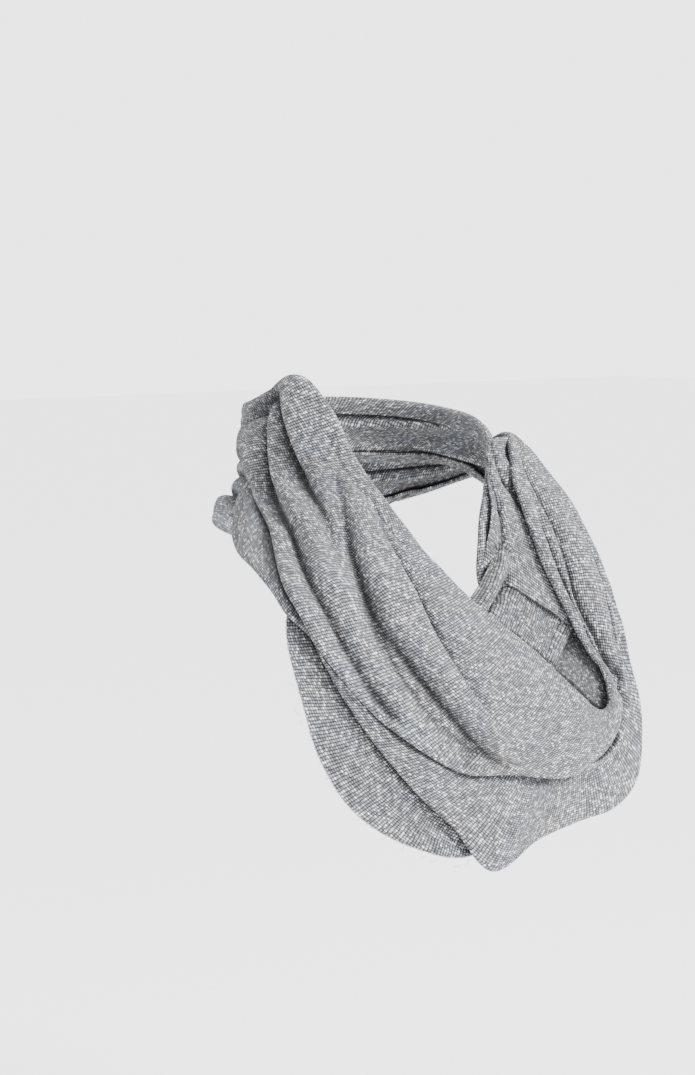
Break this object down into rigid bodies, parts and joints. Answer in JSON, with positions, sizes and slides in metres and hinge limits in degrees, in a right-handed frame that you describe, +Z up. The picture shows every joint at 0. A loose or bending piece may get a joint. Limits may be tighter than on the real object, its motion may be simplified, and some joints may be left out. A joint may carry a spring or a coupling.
{
  "type": "infinity scarf",
  "caption": "Infinity scarf of ribbed marl knit, worn in two turns round the neck: a broad front sweep over a lower drape, a raw-edged flap and layered folds at the side.",
  "frame": {"origin": "on the neck's axis, level with the foot of the neck", "axes": "+Z up along the neck, -Y to the wearer's front, -X to the wearer's right"},
  "size_m": [0.2575, 0.2383, 0.2785],
  "materials": {
    "marl_knit": "fine ribbed marl knit, matt with light flecks"
  },
  "bodies": {
    "root": {"upper_sweep": "marl_knit", "left_outer_fall": "marl_knit", "lower_back_wrap": "marl_knit", "lower_drape": "marl_knit", "left_under_fall": "marl_knit", "upper_back_wrap": "marl_knit", "hem_flap": "marl_knit", "tucked_fold": "marl_knit", "tucked_tab": "marl_knit", "tucked_corner": "marl_knit"}
  },
  "joints": []
}
